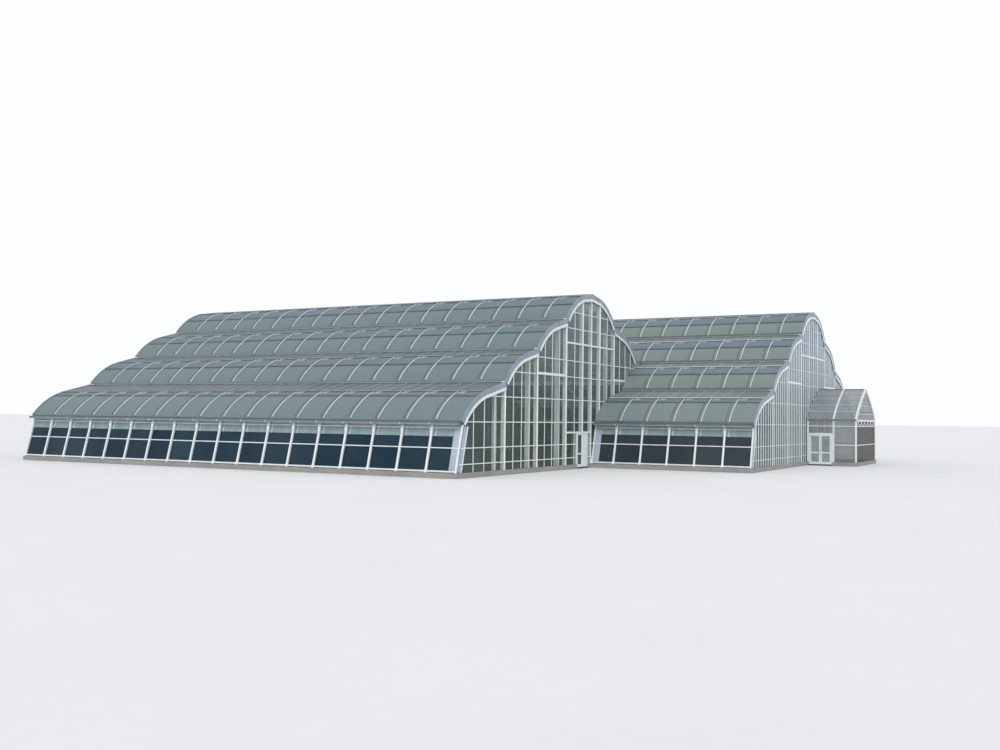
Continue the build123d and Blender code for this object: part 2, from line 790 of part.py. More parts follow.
def build_door(name, plane, header_from, header_to):
    """Frame and two leaves of a doorway whose clear opening starts at the plane's origin."""
    head = leaf_height + 2 * door_gap
    with BuildPart() as surround:
        with BuildSketch(plane):
            with Locations((-jamb_width, 0), (opening_width, 0)):
                Rectangle(jamb_width, head, align=(Align.MIN, Align.MIN))
            with Locations((header_from, head)):
                Rectangle(header_to - header_from, header_height, align=(Align.MIN, Align.MIN))
        extrude(amount=-jamb_depth)
        for side in ("left", "right"):
            for height in hinge_heights:
                knuckle(plane, side, door_gap + height, False)
    finish(surround.part, f"{name}_frame")

    light_width = leaf_width - 2 * leaf_stile
    lower = leaf_rail_height - 2 * leaf_stile
    upper = leaf_height - leaf_rail_height - 2 * leaf_stile
    for side, x in (("left", door_gap), ("right", opening_width - door_gap - leaf_width)):
        with BuildPart() as leaf:
            with BuildSketch(plane):
                with Locations((x, door_gap)):
                    Rectangle(leaf_width, leaf_height, align=(Align.MIN, Align.MIN))
                with Locations((x + leaf_stile, door_gap + leaf_rail_height + leaf_stile)):
                    Rectangle(light_width, upper, align=(Align.MIN, Align.MIN), mode=Mode.SUBTRACT)
                with Locations((x + leaf_stile, door_gap + 2 * leaf_stile)):
                    Rectangle(light_width, lower, align=(Align.MIN, Align.MIN), mode=Mode.SUBTRACT)
            extrude(amount=-leaf_thickness)
            with BuildSketch(plane.offset(-(leaf_thickness - pane_thickness) / 2)):
                with Locations((x + leaf_stile / 2, door_gap + leaf_stile)):
                    Rectangle(leaf_width - leaf_stile, leaf_height - 1.5 * leaf_stile,
                              align=(Align.MIN, Align.MIN))
            extrude(amount=-pane_thickness)
            for height in hinge_heights:
                knuckle(plane, side, door_gap + height + hinge_length + hinge_seat_gap, True)
            handle(plane, x + leaf_width - leaf_stile / 2 if side == "left" else x + leaf_stile / 2)
        finish(leaf.part, f"{name}_{side}_leaf")


for hall in (main, second):
    build_walls(hall)
    for back in (False, True):
        build_roof(hall, back)
    build_purlins(hall)
    build_frames(hall)
    for right in (True, False):
        build_gable(hall, right)
    build_verges(hall)
build_gable_ties()
build_base()
build_valley()
build_porch()
gable_opening = (main_right_x, main_ridge_y - gable_door_from_ridge, floor_top)
build_door("gable_door", door_plane(gable_opening, (0, 1, 0), (1, 0, 0)),
           *[gable_door_from_ridge + place for place in gable_header(main)])
porch_opening = (second_right_x + porch_door_from_gable + jamb_width, porch_y - porch_half_width, floor_top)
build_door("porch_door", door_plane(porch_opening, (1, 0, 0), (0, -1, 0)),
           -jamb_width, opening_width + jamb_width)
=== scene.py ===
"""Looks of the glass greenhouse: finishes, glazing bars, fittings, camera and light."""

import logging
import math
from dataclasses import dataclass, replace
from enum import Enum
from functools import cached_property
from itertools import product
from typing import Callable

import bmesh
import bpy
from mathutils import Matrix, Vector


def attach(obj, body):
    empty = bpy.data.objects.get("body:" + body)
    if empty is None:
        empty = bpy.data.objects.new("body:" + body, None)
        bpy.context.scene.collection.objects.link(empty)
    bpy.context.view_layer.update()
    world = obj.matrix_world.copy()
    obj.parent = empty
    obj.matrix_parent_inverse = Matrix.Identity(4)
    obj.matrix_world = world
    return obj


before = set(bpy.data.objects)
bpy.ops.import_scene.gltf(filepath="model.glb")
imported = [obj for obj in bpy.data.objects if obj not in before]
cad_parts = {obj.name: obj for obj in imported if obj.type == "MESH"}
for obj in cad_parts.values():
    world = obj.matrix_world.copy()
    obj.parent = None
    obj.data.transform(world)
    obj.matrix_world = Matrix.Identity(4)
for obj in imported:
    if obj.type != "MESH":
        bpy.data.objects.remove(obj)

log = logging.getLogger("greenhouse")
Pair = tuple[float, float]
Triple = tuple[float, float, float]
Numbers = tuple[float, ...]
Obj = bpy.types.Object
Socket = bpy.types.NodeSocket
X_AXIS, Y_AXIS, UP = Vector((1, 0, 0)), Vector((0, 1, 0)), Vector((0, 0, 1))
EVEN: Triple = (1.0, 1.0, 1.0)
STREAKED: Triple = (3.0, 3.0, 0.5)
WORN: Pair = (0.85, 1.15)
GRAIN = 12
SILL = 0.15
BODY = "building"
MAIN_BAY, MAIN_END = 1.0, 6.0
SECOND_BAY, SECOND_END = 0.97, 11.69
RIDGE = 4.6
HEIGHT = 6.0


class Pattern(Enum):
    """How a finish varies over its surface."""

    MOTTLE = "mottle"
    STREAKS = "streaks"
    SPANGLE = "spangle"
    WEAVE = "weave"
    CONCRETE = "concrete"
    PANES = "panes"
    TIERS = "tiers"
    # Paler high up: painted light on a gable's glass.
    PAINTED_LIGHT_RISE = "rise"


MOTTLE, STREAKS, SPANGLE, WEAVE, CONCRETE, PANES, TIERS, PAINTED_LIGHT_RISE = Pattern


@dataclass(frozen=True)
class Finish:
    """One finish and how its material is made.

    Args:
        name: name of the material.
        colour: main colour, linear.
        other: colour that the pattern blends in.
        pattern: how the two colours are spread.
        scale: repeats of the pattern for each metre.
        roughness: roughness of the surface.
        metallic: share of metal.
        specular: strength of the plain reflection.
        alpha: share of the light that it stops.
        relief: depth of the fine bumps, in metres.
        pane: width and height of a pane, where panes differ in tone.
        start: place of a pane's edge along X and along Y.
        upper_alpha: alpha high up, where it changes with height, for the painted light of the high
            panes.
    """

    name: str
    colour: Triple
    other: Triple
    pattern: Pattern = MOTTLE
    scale: float = 3.0
    roughness: float = 0.5
    metallic: float = 0.0
    specular: float = 0.4
    alpha: float = 1.0
    relief: float = 0.0005
    pane: Pair = (1.0, 1.0)
    start: Pair = (0.0, 0.0)
    upper_alpha: float | None = None

    def material(self) -> bpy.types.Material:
        """Material of this finish, made once."""
        return bpy.data.materials.get(f"{self.name}_finish") or self.build()

    def build(self) -> bpy.types.Material:
        """Make the material and its nodes.

        Returns:
            The new material.
        """
        material = bpy.data.materials.new(f"{self.name}_finish")
        sheet = NodeSheet(material)
        factor = self.spread(sheet)
        mix = sheet.add("ShaderNodeMix", {"A": (*self.colour, 1.0), "B": (*self.other, 1.0),
                                          "Factor": factor}, data_type="RGBA")
        worn = (self.roughness * WORN[0], min(1.0, self.roughness * WORN[1]))
        shader = sheet.add("ShaderNodeBsdfPrincipled", {
            "Base Color": mix.outputs["Result"], "Metallic": self.metallic,
            "Specular IOR Level": self.specular, "Alpha": self.alpha,
            "Roughness": sheet.remap(factor, (0.0, 1.0), worn),
            "Normal": sheet.relief(self.scale * GRAIN, self.relief)})
        # High up, the painted light also makes the glass more opaque.
        if self.upper_alpha is not None:
            fade = sheet.remap(factor, (0.0, 1.0), (self.alpha, self.upper_alpha))
            sheet.tree.links.new(fade, shader.inputs["Alpha"])
        sheet.add("ShaderNodeOutputMaterial", {"Surface": shader.outputs["BSDF"]})
        return material

    def spread(self, sheet: "NodeSheet") -> Socket:
        """Nodes of the pattern.

        Args:
            sheet: node tree to add to.

        Returns:
            Socket with the share of the other colour.
        """
        tones = {PANES: sheet.pane_tones, TIERS: sheet.tier_tones, PAINTED_LIGHT_RISE: sheet.painted_light_rise_tones}
        if self.pattern in tones:
            return tones[self.pattern](self)
        if self.pattern is SPANGLE:
            inputs = {"Scale": self.scale * 10, "Vector": sheet.place}
            cells = sheet.add("ShaderNodeTexVoronoi", inputs).outputs["Color"]
            return sheet.blend(cells, sheet.cloud(self.scale), 0.5)
        if self.pattern is WEAVE:
            inputs = {"Scale": self.scale * 8, "Vector": sheet.place}
            threads = [sheet.add("ShaderNodeTexWave", inputs, bands_direction=way).outputs["Fac"]
                       for way in ("X", "Z")]
            return sheet.blend(sheet.blend(*threads, 0.5), sheet.cloud(0.6), 0.6)
        if self.pattern is CONCRETE:
            return sheet.blend(sheet.cloud(self.scale * 10), sheet.cloud(self.scale), 0.6)
        return sheet.cloud(self.scale, STREAKED if self.pattern is STREAKS else EVEN)


class NodeSheet:
    """Node tree of one material or world."""

    def __init__(self, owner: bpy.types.ID) -> None:
        """Start an empty tree."""
        owner.use_nodes = True
        self.tree = owner.node_tree
        self.tree.nodes.clear()

    @cached_property
    def place(self) -> Socket:
        """Place on the object."""
        return self.add("ShaderNodeTexCoord").outputs["Object"]

    def add(self, kind: str, inputs: dict[str | int, object] | None = None,
            **settings: object) -> bpy.types.Node:
        """Add a node.

        Args:
            kind: node type.
            inputs: number, colour or socket for each input.
            settings: properties of the node.

        Returns:
            The new node.
        """
        node = self.tree.nodes.new(kind)
        for key, value in settings.items():
            setattr(node, key, value)
        for key, value in (inputs or {}).items():
            if isinstance(value, Socket):
                self.tree.links.new(value, node.inputs[key])
            else:
                node.inputs[key].default_value = value
        return node

    def math(self, kind: str, first: Socket, second: "Socket | float" = 0.0) -> Socket:
        """Arithmetic on a socket and a second socket or number."""
        return self.add("ShaderNodeMath", {0: first, 1: second}, operation=kind).outputs[0]

    def blend(self, first: Socket, second: Socket, share: float) -> Socket:
        """Blend of two sockets, with the share of the second."""
        mix = self.add("ShaderNodeMix", {"Factor": share, "A": first, "B": second})
        return mix.outputs["Result"]

    def remap(self, value: Socket, source: Pair, target: Pair = (0.0, 1.0),
              **settings: object) -> Socket:
        """Map a socket from one range onto another."""
        ends = dict(zip(("From Min", "From Max", "To Min", "To Max"), (*source, *target)))
        node = self.add("ShaderNodeMapRange", {"Value": value, **ends}, **settings)
        return node.outputs["Result"]

    def cloud(self, scale: float, stretch: Triple = EVEN) -> Socket:
        """Soft noise from 0 to 1, with its scale and the stretch along each axis."""
        moved = self.add("ShaderNodeMapping", {"Scale": stretch, "Vector": self.place})
        noise = self.add("ShaderNodeTexNoise", {"Scale": scale, "Detail": 4.0,
                                                "Vector": moved.outputs["Vector"]})
        return self.remap(noise.outputs["Fac"], (0.32, 0.68))

    def relief(self, scale: float, depth: float) -> Socket:
        """Normal with fine bumps of a noise scale and a depth in metres."""
        grain = self.add("ShaderNodeTexNoise", {"Scale": scale, "Detail": 3.0,
                                                "Vector": self.place})
        bump = self.add("ShaderNodeBump", {"Strength": 0.3, "Distance": depth,
                                           "Height": grain.outputs["Fac"]})
        return bump.outputs["Normal"]

    def axis(self, name: str) -> Socket:
        """One coordinate of a place."""
        return self.add("ShaderNodeSeparateXYZ", {"Vector": self.place}).outputs[name]

    def pane_tones(self, finish: Finish) -> Socket:
        """Tone that differs from pane to pane, with a soft cloud over it.

        Args:
            finish: finish with the size of its panes.

        Returns:
            Socket from 0 to 1.
        """
        sizes = (finish.pane[0], finish.pane[0], finish.pane[1])
        cell = {}
        for name, size, edge in zip("XYZ", sizes, (*finish.start, 0.0)):
            moved = self.math("SUBTRACT", self.axis(name), edge)
            cell[name] = self.math("FLOOR", self.math("DIVIDE", moved, size))
        number = self.add("ShaderNodeCombineXYZ", cell).outputs["Vector"]
        tone = self.add("ShaderNodeTexWhiteNoise", {"Vector": number}).outputs["Value"]
        return self.blend(tone, self.cloud(0.5, (1.0, 1.0, 0.6)), 0.55)

    def painted_light_rise_tones(self, finish: Finish) -> Socket:
        """Tone of a gable's glass, from 0 in its low panes to 1 in its high ones: painted light
        that makes the high panes paler.
        """
        rise = self.remap(self.axis("Z"), (SILL + 1.2, SILL + 4.4),
                          interpolation_type="SMOOTHSTEP")
        return self.blend(rise, self.pane_tones(finish), 0.3)

    def tier_tones(self, finish: Finish) -> Socket:
        """Tone of a tiered roof, even over each tier's shades.

        Args:
            finish: finish with the size of its panes.

        Returns:
            Socket from 0 over the shades to 1 over the clear strips above them.
        """
        level = self.math("DIVIDE", self.math("SUBTRACT", self.axis("Z"), SILL), HEIGHT)
        ramp = self.add("ShaderNodeValToRGB", {"Fac": level})
        colours = ramp.color_ramp
        colours.interpolation = "CONSTANT"
        stops = [(0.0, 0.0)]
        for tier, (_, seat_z) in enumerate(PROFILE.seats):
            roller = PROFILE.arc(tier).at(PROFILE.rollers[tier], PROFILE.glass)[1]
            stops += [(roller / HEIGHT, 1.0), ((seat_z + 0.95) / HEIGHT, 0.0)]
        for number, (at, tone) in enumerate(stops[:-1]):
            stop = colours.elements.new(at) if number else colours.elements[0]
            stop.position = at
            stop.color = (tone, tone, tone, 1.0)
        colours.elements.remove(colours.elements[-1])
        return self.blend(ramp.outputs["Color"], self.pane_tones(finish), 0.22)


WHITE_PAINT = Finish("white_paint", (0.8, 0.83, 0.835), (0.68, 0.73, 0.745), STREAKS, 1.6, 0.45)
BAR_PAINT = Finish("bar_paint", (0.62, 0.665, 0.665), (0.52, 0.57, 0.575), STREAKS, 1.6, 0.5)
BRIGHT_STEEL = Finish("bright_steel", (0.84, 0.865, 0.87), (0.73, 0.765, 0.785), SPANGLE, 6.0, 0.4)
# Lit copy of the white paint: painted sunlight, for the right gable's posts and the post heads.
SUNLIT_PAINT = Finish("sunlit_paint", (0.92, 0.935, 0.93), (0.83, 0.86, 0.865), STREAKS, 1.6, 0.45)
PALE_BAR = Finish("pale_bar", (0.56, 0.63, 0.64), (0.42, 0.5, 0.53), STREAKS, 2.0, 0.5)
FRAME_STEEL = Finish("frame_steel", (0.4, 0.44, 0.45), (0.29, 0.33, 0.35), SPANGLE, 5.0, 0.5, 0.2)
GUTTER_STEEL = Finish(
    "gutter_steel", (0.125, 0.165, 0.195), (0.18, 0.225, 0.25), SPANGLE, 4.0, 0.5, 0.3)
VERGE_PAINT = Finish("verge_paint", (0.3, 0.36, 0.42), (0.22, 0.28, 0.34), STREAKS, 1.4, 0.5)
# Dark of the painted shade in the gaps between the roof's shade screens, and of the knee braces.
GAP_SHADE_AND_BRACE_DARK = Finish("gap_shade_and_brace_dark", (0.09, 0.105, 0.105), (0.14, 0.155, 0.15), MOTTLE, 2.5, 0.7)
ROLLER_BLUE = Finish("roller_blue", (0.03, 0.052, 0.075), (0.055, 0.085, 0.11), STREAKS, 2.5, 0.5)
HINGE_BAR = Finish(
    "hinge_bar", (0.07, 0.085, 0.09), (0.11, 0.12, 0.12), MOTTLE, 2.5, 0.8, specular=0.1)
DRIP_EDGE = Finish("drip_edge", (0.42, 0.43, 0.41), (0.3, 0.31, 0.3), MOTTLE, 3.5, 0.5)
SHADE_CLOTH = Finish(
    "shade_cloth", (0.3, 0.36, 0.335), (0.24, 0.3, 0.28), WEAVE, 6.0, 0.85, relief=0.001)
ROOF_GLASS = Finish(
    "roof_glass", (0.24, 0.312, 0.322), (0.205, 0.275, 0.32), TIERS, 1.0, 0.35, specular=0.06,
    alpha=0.62, pane=(MAIN_BAY, 3.0))
SECOND_ROOF = replace(
    ROOF_GLASS, name="second_roof_glass", colour=(0.29, 0.352, 0.342), pane=(SECOND_BAY, 3.0),
    start=(SECOND_END, 0.0))
VENT_GLASS = Finish(
    "vent_glass", (0.145, 0.185, 0.215), (0.2, 0.24, 0.268), PANES, 1.0, 0.35, specular=0.06,
    alpha=0.75, pane=(MAIN_BAY, 3.0))
SECOND_VENT = replace(
    VENT_GLASS, name="second_vent_glass", colour=(0.215, 0.24, 0.245), other=(0.29, 0.31, 0.31),
    pane=(SECOND_BAY, 3.0), start=(SECOND_END, 0.0))
# Near-black, nearly opaque glass: painted shade of the dark inside behind it, with a tone that
# differs from pane to pane.
WALL_GLASS = Finish(
    "wall_glass", (0.005, 0.019, 0.042), (0.028, 0.06, 0.076), PANES, 1.0, 0.2, specular=0.12,
    alpha=0.93, pane=(MAIN_BAY, 0.84))
# Painted shade of the dark inside, a little lighter, on the second hall's long walls.
SECOND_WALL = replace(
    WALL_GLASS, name="second_wall_glass", colour=(0.026, 0.038, 0.05), other=(0.058, 0.07, 0.078),
    pane=(SECOND_BAY, 0.84), start=(SECOND_END, 0.0))
# Gable glass, clear low down; painted light makes its high panes paler and more opaque.
GABLE_GLASS = Finish(
    "gable_glass", (0.2, 0.27, 0.23), (0.42, 0.5, 0.53), PAINTED_LIGHT_RISE, 1.0, 0.22, specular=0.25, alpha=0.13,
    pane=(0.5375, 0.75), start=(0.0, -2.535), upper_alpha=0.27)
# Painted sky reflection: the high panes bluish-pale and nearly opaque.
PALE_GABLE_GLASS = Finish(
    "pale_gable_glass", (0.115, 0.14, 0.13), (0.17, 0.28, 0.41), PAINTED_LIGHT_RISE, 1.0, 0.22, specular=0.2,
    alpha=0.5, pane=(0.5375, 0.75), start=(0.0, 2.535), upper_alpha=0.75)
# Dark, nearly opaque glass: painted shade of the dark inside, a little paler high up.
FAR_GABLE_GLASS_PAINTED_SHADE = Finish(
    "far_gable_glass_painted_shade", (0.06, 0.085, 0.078), (0.17, 0.2, 0.2), PAINTED_LIGHT_RISE, 1.0, 0.25, specular=0.3,
    alpha=0.9, pane=(0.5375, 0.75), start=(0.0, -2.535))
PORCH_GLASS = Finish(
    "porch_glass", (0.3, 0.34, 0.36), (0.38, 0.415, 0.435), PANES, 1.0, 0.3, specular=0.15,
    alpha=0.45, pane=(0.94, 0.8))
PORCH_WALL_GLASS = Finish(
    "porch_wall_glass", (0.34, 0.37, 0.37), (0.43, 0.46, 0.46), PANES, 1.0, 0.25, specular=0.15,
    alpha=0.3, pane=(0.94, 0.8))
PORCH_END_GLASS = Finish(
    "porch_end_glass", (0.03, 0.035, 0.028), (0.07, 0.07, 0.056), MOTTLE, 1.0, 0.3, specular=0.03,
    alpha=0.7)
KERB = Finish(
    "kerb_concrete", (0.34, 0.335, 0.315), (0.25, 0.25, 0.24), CONCRETE, 1.2, 0.85, relief=0.002)
FLOOR = Finish(
    "dark_floor", (0.1, 0.1, 0.09), (0.065, 0.07, 0.06), CONCRETE, 0.8, 0.9, relief=0.002)
STUDIO_FLOOR = Finish(
    "studio_floor", (0.8, 0.81, 0.82), (0.77, 0.78, 0.79), CONCRETE, 0.5, 0.9, specular=0.1)
FASCIA = Finish("eave_fascia", (0.285, 0.375, 0.395), (0.22, 0.305, 0.33), STREAKS, 1.5, 0.5)
# Light blue: painted sky light on the panels beside the walls' corners.
CORNER_PANEL = Finish("corner_panel", (0.42, 0.48, 0.57), (0.34, 0.41, 0.51), STREAKS, 1.5, 0.45)
DOOR_PAINT = Finish("door_paint", (0.82, 0.845, 0.85), (0.72, 0.755, 0.77), STREAKS, 2.0, 0.4)
DOOR_GLASS = Finish("door_glass", (0.055, 0.075, 0.075), (0.11, 0.13, 0.13), MOTTLE, 2.5, 0.12)
PALE_DOOR_GLASS = replace(
    DOOR_GLASS, name="pale_door_glass", colour=(0.24, 0.27, 0.27), other=(0.33, 0.36, 0.36))


class Bench:
    """Modelling steps that every sub-assembly uses."""

    @staticmethod
    def on_faces(obj: Obj, chosen: Callable[[Vector, Vector], bool],
                 work: Callable[[], object]) -> None:
        """Run an edit on the faces chosen by their centre and normal.

        Args:
            obj: object to edit.
            chosen: test of a face's centre and normal.
            work: the edit.
        """
        bpy.context.view_layer.objects.active = obj
        bpy.ops.object.mode_set(mode="EDIT")
        bpy.ops.mesh.select_mode(type="FACE")
        bpy.ops.mesh.select_all(action="DESELECT")
        mesh = bmesh.from_edit_mesh(obj.data)
        for face in mesh.faces:
            face.select_set(chosen(face.calc_center_median(), face.normal))
        bmesh.update_edit_mesh(obj.data)
        work()
        bpy.ops.object.mode_set(mode="OBJECT")

    @staticmethod
    def bar(start: Vector, end: Vector, width: float, height: float, up: Vector,
            cap: float = 0.25) -> Obj:
        """Straight bar with a narrower raised cap on its outer face.

        Args:
            start: one end of its lower face's middle line.
            end: the other end.
            width: width of the bar.
            height: height of the bar with its cap.
            up: direction that the cap faces.
            cap: share of the width that the cap is set in on each side.

        Returns:
            The bar, with its place in its mesh.
        """
        length = (end - start).length
        along = (end - start).normalized()
        outward = (up - up.dot(along) * along).normalized()
        base = height * 0.6
        turn = Matrix((along, outward.cross(along), outward)).transposed().to_euler()
        bpy.ops.object.select_all(action="DESELECT")
        bpy.ops.mesh.primitive_cube_add(size=1.0, location=(start + end) / 2 + outward * base / 2,
                                        rotation=turn, scale=(length, width, base))
        bpy.ops.object.transform_apply(location=True, rotation=True, scale=True)
        bar = bpy.context.object
        inset = min(width * cap, length * 0.4)
        Bench.on_faces(bar, lambda _, normal: normal.dot(outward) > 0.9,
                       lambda: bpy.ops.mesh.inset(thickness=inset, depth=height - base))
        return bar

    @staticmethod
    def swept(section: Vector, size: Pair, centre: Vector, axis: Vector, angle: float,
              steps: int) -> Obj:
        """Curved strip: a rectangle swept round an axis.

        Args:
            section: middle of the rectangle.
            size: its width along the axis and its height along the radius.
            centre: point on the axis.
            axis: direction of the axis.
            angle: angle to sweep, in radians, right-handed about the axis.
            steps: number of straight lengths.

        Returns:
            The closed strip.
        """
        radial = (section - centre).normalized()
        turn = Matrix((axis, radial, axis.cross(radial))).transposed().to_euler()
        bpy.ops.object.select_all(action="DESELECT")
        bpy.ops.mesh.primitive_plane_add(size=1.0, location=section, rotation=turn)
        strip = bpy.context.object
        strip.scale = (*size, 1.0)
        bpy.ops.object.transform_apply(location=True, rotation=True, scale=True)
        Bench.on_faces(strip, lambda *_: True, lambda: bpy.ops.mesh.spin(
            steps=steps, angle=-angle, center=centre, axis=axis))
        return strip

    @staticmethod
    def repeat(obj: Obj, step: float, count: int) -> Obj:
        """Copy an object to its left along X, into one mesh.

        Args:
            obj: object to copy.
            step: distance from one copy to the next.
            count: number of copies with the first.

        Returns:
            The same object.
        """
        bpy.context.view_layer.objects.active = obj
        row = obj.modifiers.new("row", "ARRAY")
        row.use_relative_offset = False
        row.use_constant_offset = True
        row.constant_offset_displace = (-step, 0.0, 0.0)
        row.count = max(1, count)
        bpy.ops.object.modifier_apply(modifier=row.name)
        return obj


@dataclass(frozen=True)
class Arc:
    """Arc in a cross-section, with its angles in radians."""

    centre: Pair
    radius: float
    first: float
    last: float

    @classmethod
    def through(cls, foot: Pair, run: float, rise: float, sagitta: float) -> "Arc":
        """Arc that rises from its foot.

        Args:
            foot: its lower end.
            run: distance to its upper end.
            rise: height of its upper end above the lower one.
            sagitta: height of the arc above its chord.

        Returns:
            The arc.
        """
        u, z = foot
        chord = math.hypot(run, rise)
        radius = (chord**2 / 4 + sagitta**2) / (2 * sagitta)
        drop = radius - sagitta
        centre = (u + run / 2 + rise / chord * drop, z + rise / 2 - run / chord * drop)
        return cls(centre, radius, math.atan2(z - centre[1], u - centre[0]),
                   math.atan2(z + rise - centre[1], u + run - centre[0]))

    def at(self, share: float, offset: float) -> Pair:
        """Point at a share of the arc, moved out by an offset."""
        angle = self.first + (self.last - self.first) * share
        return (self.centre[0] + (self.radius + offset) * math.cos(angle),
                self.centre[1] + (self.radius + offset) * math.sin(angle))


@dataclass(frozen=True)
class Profile:
    """Cross-section of a slope: u runs in from the wall's foot and z up from the sill."""

    half_span: float = 9.2
    wall_lean: float = 0.35
    wall_height: float = 1.345
    wall_inside: float = 0.08
    seats: tuple[Pair, ...] = ((0.305, 1.44), (2.83, 2.66), (4.98, 3.80), (7.13, 4.94))
    heads: tuple[Pair, ...] = ((2.8, 2.60), (4.95, 3.74), (7.1, 4.88), (9.16, 5.92))
    run: float = 1.28
    rise: float = 0.86
    sagitta: float = 0.125
    rollers: Numbers = (0.74, 0.55, 0.52, 0.48)
    glass: float = 0.02
    vent_gap: float = 0.003
    vent_lap: float = 0.04

    def arc(self, tier: int) -> Arc:
        """Arc that rises from a tier's seat."""
        return Arc.through(self.seats[tier], self.run, self.rise, self.sagitta)

    def vent(self, tier: int) -> tuple[Vector, Vector]:
        """Lower and upper end of a vent's underside."""
        arc_u = self.seats[tier][0] + self.run
        low_z = self.seats[tier][1] + self.rise + self.glass + self.vent_gap
        head_u, head_z = self.heads[tier]
        slope = (head_z - low_z) / (head_u - arc_u)
        low = Vector((arc_u - self.vent_lap, low_z - self.vent_lap * slope))
        return low, Vector((head_u, head_z))

    def height(self, u: float) -> float:
        """Height of the glass line above the sill.

        Args:
            u: distance in from the wall's foot.

        Returns:
            Height of the roof or wall line there.
        """
        if u < self.wall_lean:
            return max(0.0, (u - self.wall_inside) / self.wall_lean * self.wall_height)
        tier = max(k for k, (seat_u, _) in enumerate(self.seats) if k == 0 or seat_u - 0.03 <= u)
        seat_u, seat_z = self.seats[tier]
        if u <= seat_u:
            return seat_z
        arc = self.arc(tier)
        if u <= seat_u + self.run:
            return arc.centre[1] + math.sqrt(arc.radius**2 - (u - arc.centre[0])**2)
        head_u, head_z = self.heads[tier]
        start, past = seat_z + self.rise, seat_u + self.run
        return min(head_z, start + (head_z - start) * (u - past) / (head_u - past))

    def reach(self, level: float) -> float:
        """Distance in from the foot at which the line reaches a level."""
        low, high = 0.0, self.half_span
        for _ in range(30):
            middle = (low + high) / 2
            low, high = (middle, high) if self.height(middle) < level else (low, middle)
        return high


PROFILE = Profile()


@dataclass
class Assembly:
    """Sub-assembly whose pieces are named after it."""

    name: str

    def finish(self, part: str, objects: list[Obj], finish: Finish, slot: str = "white_metal",
               body: str = BODY) -> None:
        """Join objects into one dressed piece and set it on its body.

        Args:
            part: name of the piece after the assembly's own.
            objects: objects to join.
            finish: its finish.
            slot: material slot of the record; not used.
            body: body that it rides on.
        """
        bpy.ops.object.select_all(action="DESELECT")
        for obj in objects:
            obj.select_set(True)
        bpy.context.view_layer.objects.active = piece = objects[0]
        if len(objects) > 1:
            bpy.ops.object.join()
        piece.name = piece.data.name = f"{self.name}_{part}"
        bpy.ops.object.mode_set(mode="EDIT")
        bpy.ops.mesh.select_all(action="SELECT")
        bpy.ops.mesh.normals_make_consistent(inside=False)
        bpy.ops.object.mode_set(mode="OBJECT")
        piece.data.materials.clear()
        piece.data.materials.append(finish.material())
        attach(piece, body)
        log.info("%s: %d faces", piece.name, len(piece.data.polygons))


@dataclass
class HallSide(Assembly):
    """Long side of a hall, with its bay lines counted from the right.

    Args:
        foot: place of its wall's foot along Y.
        side: 1 where its roof rises with Y and -1 where it falls.
        right: place of the first bay line along X.
        bay: distance between bay lines.
        low: ends of its wall and of its two low tiers along X.
    """

    foot: float
    side: int
    right: float
    bay: float
    low: Pair

    def place(self, x: float, point: Pair) -> Vector:
        """Place of a point of the cross-section."""
        return Vector((x, self.foot + self.side * point[0], SILL + point[1]))

    def bay_lines(self, ends: Pair, clear: float = 0.1) -> list[float]:
        """Bay lines that lie clear of both ends."""
        places = [self.right - k * self.bay for k in range(20)]
        return [x for x in places if ends[0] + clear < x < ends[1] - clear]


